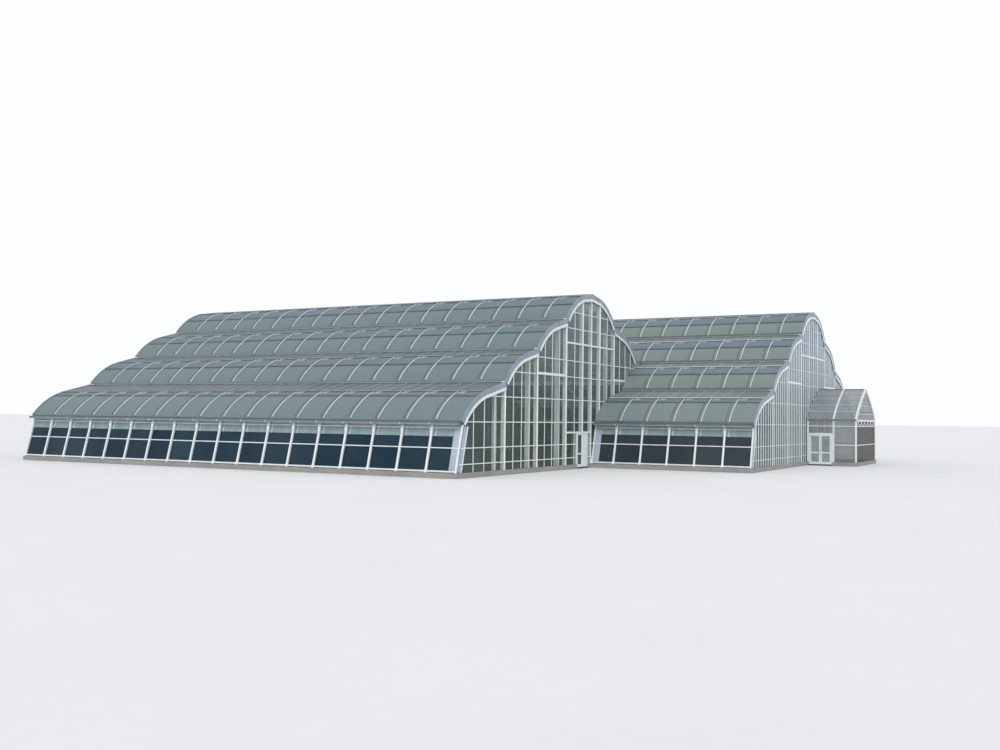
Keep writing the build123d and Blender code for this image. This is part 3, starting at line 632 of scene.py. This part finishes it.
@dataclass
class RoofSlope(HallSide):
    """Glazing bars, shades, arms and vent frames on the tiers of one slope.

    Args:
        full: ends of its two high tiers along X.
        drip_width: width of the pale drip edge on each vent.
        drip: finish of the drip edge.
        foot_line: width of the dark line at the foot of each tier, or 0.

    A size is a width and a height, and a share is a place along a tier's arc.
    """

    full: Pair
    drip_width: float = 0.045
    drip: Finish = DRIP_EDGE
    foot_line: float = 0.0
    bar_size: Pair = (0.028, 0.03)
    bar_cap: float = 0.006
    bar_shift: float = 0.15
    # Size and place of the painted shade line in the gap between the shade screens at each bay
    # line.
    gap_shade_size: Pair = (0.04, 0.006)
    gap_shade_shift: float = 0.015
    line_height: float = 0.012
    roller_width: float = 0.075
    roller_under: float = 0.036
    screen_faces: Pair = (-0.034, -0.030)
    arm_shares: Pair = (0.84, 0.965)
    arm_shifts: Pair = (0.09, 0.20)
    arm_run: float = 0.06
    arm_size: Pair = (0.03, 0.010)
    stile_size: Pair = (0.024, 0.010)

    def ends(self, tier: int, inset: float = 0.0) -> Pair:
        """Ends of a tier along X, moved in by an inset."""
        start, end = self.low if tier < 2 else self.full
        return start + inset, end - inset

    def lines(self, tier: int) -> list[float]:
        """Bay lines of a tier."""
        return self.bay_lines(self.ends(tier))

    def curved(self, tier: int, x: float, width: float, offsets: Pair, shares: Pair) -> Obj:
        """Strip that follows a tier's curved glass.

        Args:
            tier: number of the tier.
            x: middle of the strip along X.
            width: width of the strip.
            offsets: its lower and upper face, from the glass line.
            shares: where on the arc it starts and ends.

        Returns:
            The strip.
        """
        arc = PROFILE.arc(tier)
        start = self.place(x, arc.at(shares[0], (offsets[0] + offsets[1]) / 2))
        angle = (arc.last - arc.first) * (shares[1] - shares[0]) * self.side
        return Bench.swept(start, (width, offsets[1] - offsets[0]), self.place(x, arc.centre),
                           X_AXIS, angle, 5)

    def outward(self, tier: int, share: float) -> Vector:
        """Direction square to the curved glass at a share of its arc."""
        arc = PROFILE.arc(tier)
        return (self.place(0, arc.at(share, 1.0)) - self.place(0, arc.at(share, 0.0))).normalized()

    def rail(self, tier: int, share: float, offset: float, size: Pair, inset: float) -> Obj:
        """Straight rail along X on the curved glass, set in from the tier's ends."""
        point = PROFILE.arc(tier).at(share, offset)
        start, end = self.ends(tier, inset)
        return Bench.bar(self.place(start, point), self.place(end, point), *size,
                         self.outward(tier, share))

    def build_bars(self) -> None:
        """White bars beside painted lines of shade in the gaps between the shade screens at every
        bay line, and the dark foot lines.
        """
        bars, upper, dark_lines = [], [], []
        glass = PROFILE.glass
        for tier in range(4):
            lines, roller = self.lines(tier), PROFILE.rollers[tier]
            # A dark strip on the glass at each bay line: painted shade of the gap between two shade
            # screens.
            gap_shade = self.curved(tier, lines[0] + self.gap_shade_shift, self.gap_shade_size[0],
                               (glass, glass + self.gap_shade_size[1]), (0.04, roller + 0.04))
            dark_lines.append(Bench.repeat(gap_shade, self.bay, len(lines)))
            if self.foot_line:
                dark_lines.append(self.rail(tier, 0.03, glass, (self.foot_line, self.line_height), 0.01))
            place = lines[0] + self.bar_shift
            centre = self.place(place, PROFILE.arc(tier).centre)
            for pile, shares in ((bars, (0.03, roller)), (upper, (roller, 0.93))):
                bar = self.curved(tier, place, self.bar_size[0],
                                  (glass, glass + self.bar_size[1]), shares)
                Bench.on_faces(
                    bar, lambda at, normal: normal.dot((at - centre).normalized()) > 0.9,
                    lambda: bpy.ops.mesh.inset(thickness=self.bar_size[0] * 0.25,
                                               depth=self.bar_cap))
                pile.append(Bench.repeat(bar, self.bay, len(lines)))
        self.finish("glazing_bars", bars, BAR_PAINT)
        self.finish("upper_bars", upper, PALE_BAR)
        self.finish("gap_shades_and_foot_lines", dark_lines, GAP_SHADE_AND_BRACE_DARK, "gutter_metal")

    def build_screens(self) -> None:
        """Shade screens under the lower part of each tier, one to a bay, on their rollers."""
        screens, rollers = [], []
        for tier in range(4):
            lines, share = self.lines(tier), PROFILE.rollers[tier]
            middle = lines[0] + self.bay / 2
            count = sum(1 for k in range(len(lines) + 1)
                        if middle - k * self.bay - self.bay / 2 > self.ends(tier)[0] - 0.05)
            screen = self.curved(tier, middle, self.bay - 0.05, self.screen_faces,
                                 (0.05, share - 0.02))
            screens.append(Bench.repeat(screen, self.bay, count))
            rollers += [
                self.rail(tier, share, -0.05, (self.roller_under, self.roller_under), 0.05),
                self.rail(tier, share, PROFILE.glass, (self.roller_width, self.line_height), 0.01)]
        self.finish("shade_screens", screens, SHADE_CLOTH, "roof_glass")
        self.finish("screen_rollers", rollers, ROLLER_BLUE, "gutter_metal")

    def build_arms(self) -> None:
        """Pairs of short push arms of the vents, beside the head of every glazing bar."""
        arms = []
        for tier in range(4):
            lines, arc = self.lines(tier), PROFILE.arc(tier)
            low = arc.at(self.arm_shares[0], PROFILE.glass + 0.004)
            high = arc.at(self.arm_shares[1], PROFILE.glass + 0.010)
            for beside in self.arm_shifts:
                place = lines[0] + self.bar_shift + beside
                arm = Bench.bar(self.place(place, low), self.place(place + self.arm_run, high),
                                *self.arm_size, self.outward(tier, 0.9))
                arms.append(Bench.repeat(arm, self.bay, len(lines)))
        self.finish("vent_arms", arms, BAR_PAINT)

    def build_vents(self) -> None:
        """Frames on the vents: hinge bar, edge bar, drip edge, and a stile at each half bay."""
        dark, pale, drips = [], [], []
        for tier in range(4):
            low, high = PROFILE.vent(tier)
            along = (high - low).normalized()
            normal = Vector((-along.y, along.x))
            square = self.place(0, normal) - self.place(0, (0.0, 0.0))
            foot, head = low + normal * PROFILE.glass, high + normal * PROFILE.glass
            start, end = self.ends(tier, 0.005)
            for pile, point, width, height in (
                    (dark, foot + along * (self.drip_width + 0.02), 0.03, 0.014),
                    (dark, head - along * 0.03, 0.05, 0.014),
                    (drips, foot + along * (self.drip_width / 2 + 0.003), self.drip_width, 0.012)):
                pile.append(Bench.bar(self.place(start, point), self.place(end, point), width,
                                      height, square))
            line = self.lines(tier)[0]
            stile = Bench.bar(self.place(line, foot + along * (self.drip_width + 0.04)),
                              self.place(line, head - along * 0.055), *self.stile_size, square)
            pale.append(Bench.repeat(stile, self.bay / 2, 2 * len(self.lines(tier)) - 1))
        self.finish("vent_edges", dark, HINGE_BAR, "vent_glass")
        self.finish("vent_drips", drips, self.drip)
        self.finish("vent_stiles", pale, FRAME_STEEL, "vent_glass")

    def build(self) -> None:
        """Build all that the slope carries."""
        self.build_bars()
        self.build_screens()
        self.build_arms()
        self.build_vents()


@dataclass
class EaveWall(HallSide):
    """Leaning long wall: rails, fascia, fittings at the posts, and the gutter's trim.

    Args:
        panel_at: places of its corner panels along X.
        rails: lower and upper edge of each rail, and how proud it stands, as for the strips.
        plates: lower and upper edge, width and proudness, as for the heads and straps.
    """

    panel_at: Numbers = ()
    rails: tuple[Triple, ...] = ((0.004, 0.06, 0.05), (0.672, 0.706, 0.03), (1.235, 1.275, 0.045))
    rail_depth: float = 0.058
    strip_depth: float = 0.0585
    fascia: Triple = (1.015, 1.235, 0.008)
    closer: Triple = (1.275, 1.344, 0.012)
    plates: tuple[Numbers, ...] = ((0.09, 1.16, 0.062, 0.014), (0.0, 0.09, 0.09, 0.018))
    heads: tuple[Numbers, ...] = ((1.16, 1.33, 0.10, 0.04), (1.11, 1.16, 0.08, 0.024))
    strap: Numbers = (1.02, 1.235, 0.04, 0.006)
    strap_shift: float = 0.125
    panel: Numbers = (0.07, 1.22, 0.22, 0.02)

    def on_wall(self, x: float, depth: float, z: float) -> Vector:
        """Point at a depth behind the wall's leaning outer line."""
        return self.place(x, (depth + PROFILE.wall_lean * z / PROFILE.wall_height, z))

    def outward(self) -> Vector:
        """Direction square to the wall, facing out."""
        return Vector((0, -self.side * PROFILE.wall_height, PROFILE.wall_lean)).normalized()

    def band(self, band: Triple, depth: float) -> Obj:
        """Rail along the wall between two heights, from a depth towards the outside."""
        low, high, proud = band
        ends = [self.on_wall(x, depth, (low + high) / 2)
                for x in (self.low[0] + 0.01, self.low[1] - 0.01)]
        return Bench.bar(*ends, high - low, proud, self.outward(), 0.15)

    def plate(self, x: float, size: Numbers, depth: float) -> Obj:
        """Upright plate on the wall, from a depth towards the outside."""
        low, high, width, proud = size
        return Bench.bar(self.on_wall(x, depth, low), self.on_wall(x, depth, high), width, proud,
                         self.outward())

    def row(self, obj: Obj) -> Obj:
        """Repeat an object at every bay line."""
        return Bench.repeat(obj, self.bay, len(self.bay_lines(self.low)))

    def build(self) -> None:
        """Build the rails and the fittings at each post."""
        first = self.bay_lines(self.low)[0]
        rails = [self.band(rail, self.rail_depth) for rail in self.rails]
        self.finish("wall_rails", rails, WHITE_PAINT)
        for part, band, finish, slot in (("fascia", self.fascia, FASCIA, "white_metal"),
                                         ("eave_closer", self.closer, PALE_BAR, "gutter_metal")):
            self.finish(f"{part}", [self.band(band, self.strip_depth)], finish, slot)
        # The post heads wear the lit copy of the white paint: painted sunlight.
        for part, sizes, finish in (("post_fittings", self.plates, BRIGHT_STEEL),
                                    ("post_heads", self.heads, SUNLIT_PAINT)):
            plates = [self.row(self.plate(first, size, 0.004)) for size in sizes]
            self.finish(f"{part}", plates, finish)
        strap = self.row(self.plate(first + self.strap_shift, self.strap, 0.0505))
        self.finish("fascia_straps", [strap], PALE_BAR)
        # The corner panels' light blue is painted sky light.
        for number, x in enumerate(self.panel_at):
            panel = self.plate(x, self.panel, 0.05)
            self.finish(f"corner_panel_{number}", [panel], CORNER_PANEL)
        self.build_gutter(first)

    def build_gutter(self, first: float) -> None:
        """Drip edge of the gutter, and the straps that carry it at every bay line.

        Args:
            first: place of the first bay line.
        """
        out = Vector((0, -self.side, 0))
        under = Bench.bar(self.place(first, (0.30, 1.342)), self.place(first, (0.165, 1.342)),
                          0.04, 0.012, -UP)
        face = Bench.bar(self.place(first, (0.151, 1.335)), self.place(first, (0.151, 1.40)),
                         0.03, 0.008, out)
        straps = [self.row(part) for part in (under, face)]
        drip = Bench.bar(self.place(self.low[0] + 0.01, (0.1505, 1.358)),
                         self.place(self.low[1] - 0.01, (0.1505, 1.358)), 0.02, 0.005, out, 0.15)
        self.finish("gutter_drip", [drip], FRAME_STEEL, "gutter_metal")
        self.finish("gutter_straps", straps, PALE_BAR, "gutter_metal")


@dataclass
class GableWall(Assembly):
    """Glazing bars, corners, verge rails and braces of one gable wall.

    Args:
        face: place of its outer face along X.
        inward: -1 on a right gable and 1 on a left one.
        ridge: place of the ridge along Y.
        neighbour: side on which the other hall joins, or 0.
        doorway: ends of a doorway across the gable, or None.
        panes: number of panes between two main posts.
        bar: width of the thin uprights.
        rail: width of the level bars.
        limit: place of the last bar on the neighbour's side.
        levels: heights of the level bars.
    """

    face: float
    inward: int
    ridge: float
    neighbour: int = 0
    doorway: Pair | None = None
    panes: int = 4
    bar: float = 0.03
    rail: float = 0.03
    limit: float = 4.22
    verge_offset: float = -0.15
    verge_size: Pair = (0.09, 0.007)
    doorway_top: float = 1.13
    brace_radius: float = 0.19
    brace_depth: float = 0.13
    brace_size: Pair = (0.03, 0.024)
    posts: Numbers = (6.365, 4.215, 2.065, 0.74)
    levels: Numbers = (0.235, 0.69, 1.43, 2.19, 2.97, 3.52, 4.63, 5.19)

    def place(self, across: float, depth: float, z: float) -> Vector:
        """Point at a distance from the ridge line and a depth behind the outer face."""
        return Vector((self.face + self.inward * depth, self.ridge + across, SILL + z))

    def strip(self, start: Pair, end: Pair, size: Pair, depth: float = 0.0195,
              cap: float = 0.25) -> Obj:
        """Straight strip on the outer face, between two points across and up the gable."""
        return Bench.bar(self.place(start[0], depth, start[1]), self.place(end[0], depth, end[1]),
                         *size, Vector((-self.inward, 0, 0)), cap)

    def span(self, level: float) -> Pair:
        """Ends of the gable's glass at a level."""
        reach = PROFILE.half_span - PROFILE.reach(level) - 0.03
        low, high = -reach, reach
        if self.neighbour:
            joined = min(reach, self.limit, PROFILE.reach(level) - 0.05)
            low, high = (low, joined) if self.neighbour > 0 else (-joined, high)
        return low, high

    def uprights(self) -> list[float]:
        """Places of the thin uprights between the main posts."""
        edges = [PROFILE.half_span - 0.35, *self.posts, 0.0]
        places = []
        for outer, inner in zip(edges, edges[1:]):
            part = 1 if outer - inner > 1.5 else 2 if inner > 0 else 4
            count = self.panes // part
            places += [inner + (outer - inner) * k / count for k in range(1, count)]
        places = sorted([-p for p in places] + places)
        if self.neighbour:
            return [p for p in places if p * self.neighbour < self.limit]
        return places

    def free_sides(self) -> list[int]:
        """Sides on which no other hall joins."""
        return [side for side in (-1, 1) if self.neighbour * side <= 0]

    def feet(self, across: float) -> float:
        """Height at which an upright starts."""
        if self.neighbour and across * self.neighbour > 0:
            return PROFILE.height(across * self.neighbour) + 0.04
        if self.doorway and self.doorway[0] < across < self.doorway[1]:
            return self.doorway_top
        return 0.0

    def build(self) -> None:
        """Build the bars, the corners, the verge rails and the braces."""
        bars = []
        for across in self.uprights():
            low, high = self.feet(across), PROFILE.height(PROFILE.half_span - abs(across)) - 0.03
            if high - low > 0.15:
                bars.append(self.strip((across, low), (across, high), (self.bar, 0.015)))
        for level in self.levels:
            low, high = self.span(level)
            runs = [(low, high)]
            if self.doorway and level < self.doorway_top:
                runs = [(low, self.doorway[0]), (self.doorway[1], high)]
            bars += [self.strip((start, level), (end, level), (self.rail, 0.017))
                     for start, end in runs if end - start > 0.2]
        self.finish("glazing_bars", bars, WHITE_PAINT)
        self.build_braces()
        self.build_corners()
        self.build_verge_rails()

    def build_verge_rails(self) -> None:
        """White rail along the lower half of the verge board, round every curve and vent."""
        rails = []
        width, proud = self.verge_size
        for side in (-1, 1):
            for tier in range(2 if self.neighbour * side > 0 else 0, 4):
                arc = PROFILE.arc(tier)
                start, centre = (self.place(side * (PROFILE.half_span - u), -0.0235, z)
                                 for u, z in (arc.at(0.0, self.verge_offset), arc.centre))
                rails.append(Bench.swept(start, (proud, width), centre, X_AXIS,
                                         (arc.last - arc.first) * -side, 6))
                low, high = PROFILE.vent(tier)
                along = (high - low).normalized()
                offset = self.verge_offset - PROFILE.vent_gap - PROFILE.glass
                drop = Vector((-along.y, along.x)) * offset
                ends = [(side * (PROFILE.half_span - point.x), point.y)
                        for point in (low + drop + along * 0.04, high + drop)]
                rails.append(self.strip(*ends, self.verge_size, -0.02, 0.12))
        self.finish("verge_rails", rails, WHITE_PAINT)

    def build_corners(self) -> None:
        """Pale leaning panels and posts beside the gable's leaning edges."""
        panels, posts = [], []
        top = 1.30
        lean = PROFILE.wall_lean * top / PROFILE.wall_height
        for side in self.free_sides():
            for inset, width, pile in ((0.20, 0.16, panels), (0.32, 0.06, posts)):
                foot = PROFILE.half_span - inset
                pile.append(self.strip((side * foot, 0.01), (side * (foot - lean), top),
                                       (width, 0.014)))
        # The corner panels' light blue is painted sky light.
        self.finish("corner_panels", panels, CORNER_PANEL)
        self.finish("corner_posts", posts, WHITE_PAINT)

    def build_braces(self) -> None:
        """Curved knee braces between the gable posts and the wind posts behind them."""
        braces = []
        radius, depth = self.brace_radius, self.brace_depth
        for post, side, level in product(self.posts[:3], self.free_sides(), self.levels[2:]):
            if level <= PROFILE.height(PROFILE.half_span - post) - 0.4:
                start = self.place(side * post, depth, level - radius)
                centre = self.place(side * post, depth + radius, level - radius)
                braces.append(Bench.swept(start, self.brace_size, centre, Y_AXIS,
                                          self.inward * math.pi / 2, 4))
        if braces:
            self.finish("knee_braces", braces, GAP_SHADE_AND_BRACE_DARK)


@dataclass
class Porch(Assembly):
    """Trim of the arched porch: roof lines, arches, edges and end ties."""

    start: float = SECOND_END
    end: float = 13.57
    middle: float = 5.55
    half: float = 2.1
    eave: float = 1.65
    top: float = 2.86
    sagitta: float = 0.095
    glass: float = 0.02
    line_shares: Numbers = (0.2, 0.4, 0.6, 0.8)
    line_size: Pair = (0.022, 0.012)
    arch_size: Pair = (0.06, 0.024)
    edge_size: Pair = (0.05, 0.03)
    tie_levels: Pair = (1.88, 2.2)
    tie_size: Pair = (0.03, 0.012)

    def place(self, x: float, point: Pair, side: int = 1) -> Vector:
        """Place of a point of the cross-section, on the near half where side is -1."""
        return Vector((x, self.middle - side * point[0], SILL + point[1]))

    def lengthways(self, point: Pair, side: int, ends: Pair, size: Pair, up: Vector) -> Obj:
        """Bar along the porch at a point of the cross-section, set in from both ends."""
        return Bench.bar(self.place(self.start + ends[0], point, side),
                         self.place(self.end - ends[1], point, side), *size, up)

    def build(self) -> None:
        """Build the trim on both halves of the roof and on its end."""
        arc = Arc.through((-self.half, self.eave), self.half, self.top - self.eave, self.sagitta)
        lines, arches, edges, ties = [], [], [], []
        for side in (1, -1):
            for share in self.line_shares:
                up = (self.place(0, arc.at(share, 1.0), side)
                      - self.place(0, arc.at(share, 0.0), side)).normalized()
                lines.append(self.lengthways(arc.at(share, self.glass), side, (0.03, 0.07),
                                             self.line_size, up))
            for x in (self.start + 1.01, self.end - 0.03):
                foot = arc.at(0.0, self.glass + self.arch_size[1] / 2)
                arches.append(Bench.swept(
                    self.place(x, foot, side), self.arch_size, self.place(x, arc.centre, side),
                    X_AXIS, (arc.last - arc.first) * -side, 8))
            edges.append(self.lengthways((-self.half, self.eave - 0.02), side, (0.03, 0.0),
                                         self.edge_size, Vector((0, side, 0))))
        edges.append(self.lengthways((0.0, self.top + 0.012), 1, (0.03, 0.0), self.edge_size, UP))
        for level in self.tie_levels:
            share = next(k / 100 for k in range(100) if arc.at(k / 100, 0.0)[1] > level)
            reach = -arc.at(share, 0.0)[0] - 0.09
            ties.append(Bench.bar(self.place(self.end - 0.012, (reach, level)),
                                  self.place(self.end - 0.012, (-reach, level)), *self.tie_size,
                                  X_AXIS))
        self.finish("end_ties", ties, PALE_BAR)
        self.finish("roof_lines", lines, PALE_BAR)
        self.finish("roof_arches", arches, WHITE_PAINT)
        self.finish("edge_lines", edges, GUTTER_STEEL, "gutter_metal")


@dataclass
class DoorLights(Assembly):
    """Panes and panels in the two leaves of a doorway.

    Args:
        origin: left lower corner of its clear opening, seen from outside.
        along: direction across the opening.
        outward: direction out of the doorway.
        finishes: finish of the left leaf's lights and of the right one's.
        faces: depth of each face of the pane, and the way that it faces.
    """

    origin: Vector
    along: Vector
    outward: Vector
    finishes: tuple[Finish, Finish]
    left: float = 0.2025
    between: float = 0.405
    width: float = 0.297
    lights: tuple[Pair, ...] = ((0.099, 0.431), (0.484, 1.106))
    faces: tuple[Pair, ...] = ((0.0104, 1.0), (0.0196, -1.0))

    def build(self) -> None:
        """Build both leaves' lights, a thin bevelled sheet on each face of the pane."""
        for number, (side, finish) in enumerate(zip(("left", "right"), self.finishes)):
            middle = self.origin + self.along * (self.left + self.between * number)
            sheets = []
            for low, high in self.lights:
                for depth, sense in self.faces:
                    base = middle - self.outward * depth
                    sheets.append(Bench.bar(base + UP * low, base + UP * high, self.width, 0.005,
                                            self.outward * sense, 0.05))
            self.finish(f"{side}_lights", sheets, finish, "door_metal", f"{self.name}_{side}")


@dataclass
class Studio:
    """Camera, floor and light."""

    eye: Triple = (21.1546, -38.9316, 1.6914)
    forward: Triple = (-0.48079, 0.87589, 0.04085)
    right: Triple = (0.87679, 0.48071, 0.01223)
    down: Triple = (-0.00893, 0.04170, -0.99909)
    lens: float = 38.14
    sun: float = 1.5
    sun_width: float = 0.6
    sun_turn: Pair = (50.0, 36.0)
    sky: float = 0.75
    sky_colour: Triple = (0.97, 0.985, 1.0)
    floor_size: float = 1600.0

    def build_camera(self) -> None:
        """Camera at the photograph's viewing angle."""
        data = bpy.data.cameras.new("camera")
        data.lens = self.lens
        data.sensor_width = 36.0
        data.clip_end = 2000.0
        camera = bpy.data.objects.new("camera", data)
        bpy.context.scene.collection.objects.link(camera)
        axes = (self.right, -Vector(self.down), -Vector(self.forward))
        turn = Matrix(axes).transposed().to_4x4()
        camera.matrix_world = Matrix.Translation(self.eye) @ turn
        bpy.context.scene.camera = camera

    def build_light(self) -> None:
        """Even pale sky with a broad soft sun."""
        world = bpy.data.worlds.new("sky")
        bpy.context.scene.world = world
        sheet = NodeSheet(world)
        rays = sheet.add("ShaderNodeLightPath").outputs
        seen = rays["Is Camera Ray"]
        for other in ("Is Glossy Ray", "Is Transmission Ray"):
            seen = sheet.math("MAXIMUM", seen, rays[other])
        strength = sheet.remap(seen, (0.0, 1.0), (self.sky, 1.0))
        sky = sheet.add("ShaderNodeBackground", {"Color": (*self.sky_colour, 1.0),
                                                 "Strength": strength})
        sheet.add("ShaderNodeOutputWorld", {"Surface": sky.outputs["Background"]})
        data = bpy.data.lights.new("sun", "SUN")
        data.energy = self.sun
        data.angle = self.sun_width
        sun = bpy.data.objects.new("sun", data)
        tilt, turn = self.sun_turn
        sun.rotation_euler = (math.radians(tilt), 0.0, math.radians(turn))
        bpy.context.scene.collection.objects.link(sun)

    def build_floor(self) -> None:
        """Plain pale floor under the object."""
        bpy.ops.object.select_all(action="DESELECT")
        bpy.ops.mesh.primitive_plane_add(size=self.floor_size, location=(0.0, 0.0, -0.002))
        floor = bpy.context.object
        floor.name = "studio_floor"
        floor.data.materials.append(STUDIO_FLOOR.material())

    def build(self) -> None:
        """Build the studio."""
        self.build_camera()
        self.build_light()
        self.build_floor()
        bpy.context.scene.view_settings.view_transform = "Standard"


NODE_FINISHES: dict[str, Finish] = {
    "wall_posts": WHITE_PAINT, "wall_glass": WALL_GLASS, "eave_gutters": GUTTER_STEEL,
    "front_roof_glass": ROOF_GLASS, "back_roof_glass": ROOF_GLASS, "front_vents": VENT_GLASS,
    "back_vents": VENT_GLASS, "purlins": FRAME_STEEL, "rafters": FRAME_STEEL,
    # The right gable's posts wear the lit copy of the white paint, painted sunlight.
    "columns": FRAME_STEEL, "right_gable_posts": SUNLIT_PAINT, "right_gable_glass": GABLE_GLASS,
    "left_gable_posts": WHITE_PAINT, "left_gable_glass": FAR_GABLE_GLASS_PAINTED_SHADE,
    "gable_ties": BRIGHT_STEEL, "verges": VERGE_PAINT, "floor_slabs": FLOOR,
    "plinth_kerbs": KERB, "valley_gutter": GUTTER_STEEL, "porch_frames": WHITE_PAINT,
    "porch_rails": WHITE_PAINT, "porch_roof_glass": PORCH_GLASS,
    "porch_side_glass": PORCH_WALL_GLASS, "porch_end_glass": PORCH_END_GLASS,
    "gable_door_frame": WHITE_PAINT, "porch_door_frame": WHITE_PAINT,
    "gable_door_left_leaf": DOOR_PAINT, "gable_door_right_leaf": DOOR_PAINT,
    "porch_door_left_leaf": DOOR_PAINT, "porch_door_right_leaf": DOOR_PAINT,
}
SECOND_FINISHES: dict[str, Finish] = {
    "wall_glass": SECOND_WALL, "front_roof_glass": SECOND_ROOF, "back_roof_glass": SECOND_ROOF,
    "front_vents": SECOND_VENT, "back_vents": SECOND_VENT, "right_gable_glass": PALE_GABLE_GLASS,
}


def dress_nodes() -> None:
    """Give every shown CAD node its finish."""
    for name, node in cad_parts.items():
        key = name.removeprefix("main_").removeprefix("second_")
        finish = NODE_FINISHES[key]
        if name.startswith("second_"):
            finish = SECOND_FINISHES.get(key, finish)
        node.data.materials.clear()
        node.data.materials.append(finish.material())
        log.info("%s dressed in %s", name, finish.name)


def main() -> None:
    """Build the looks around the frame."""
    logging.basicConfig(level=logging.INFO, format="%(message)s")
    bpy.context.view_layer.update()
    dress_nodes()
    main_hall, second_hall = (MAIN_END, MAIN_BAY), (SECOND_END, SECOND_BAY)
    sides = (
        ("main_front", -13.8, 1, *main_hall, (-12.0, 6.0), (-12.0, 6.0), (5.84,)),
        ("main_back", RIDGE, -1, *main_hall, (-12.0, -5.77), (-12.0, 6.0), ()),
        ("second_front", -RIDGE, 1, *second_hall, (6.0, 11.69), (-5.77, 11.69), (6.16,)),
        ("second_back", 13.8, -1, *second_hall, (-5.77, 11.69), (-5.77, 11.69), ()),
    )
    for name, foot, side, right, bay, low, full, panels in sides:
        slope = RoofSlope(name, foot, side, right, bay, low, full)
        if name.startswith("second"):
            slope = replace(slope, drip_width=0.12, drip=PALE_BAR, foot_line=0.04)
        slope.build()
        EaveWall(name, foot, side, right, bay, low, panels).build()
    GableWall("main_right_gable", MAIN_END, -1, -RIDGE, 1, (-1.21, -0.34)).build()
    GableWall("main_left_gable", -12.0, 1, -RIDGE).build()
    GableWall("second_right_gable", SECOND_END, -1, RIDGE, 0, (0.02, 2.03), 8, 0.05, 0.018).build()
    GableWall("second_left_gable", -5.77, 1, RIDGE, -1).build()
    Porch("porch").build()
    DoorLights("gable_door", Vector((6.0, -5.76, 0.05)), Y_AXIS, X_AXIS,
               (DOOR_GLASS, DOOR_PAINT)).build()
    DoorLights("porch_door", Vector((11.80, 3.45, 0.05)), X_AXIS, -Y_AXIS,
               (PALE_DOOR_GLASS, PALE_DOOR_GLASS)).build()
    Studio().build()


if __name__ == "__main__":
    main()
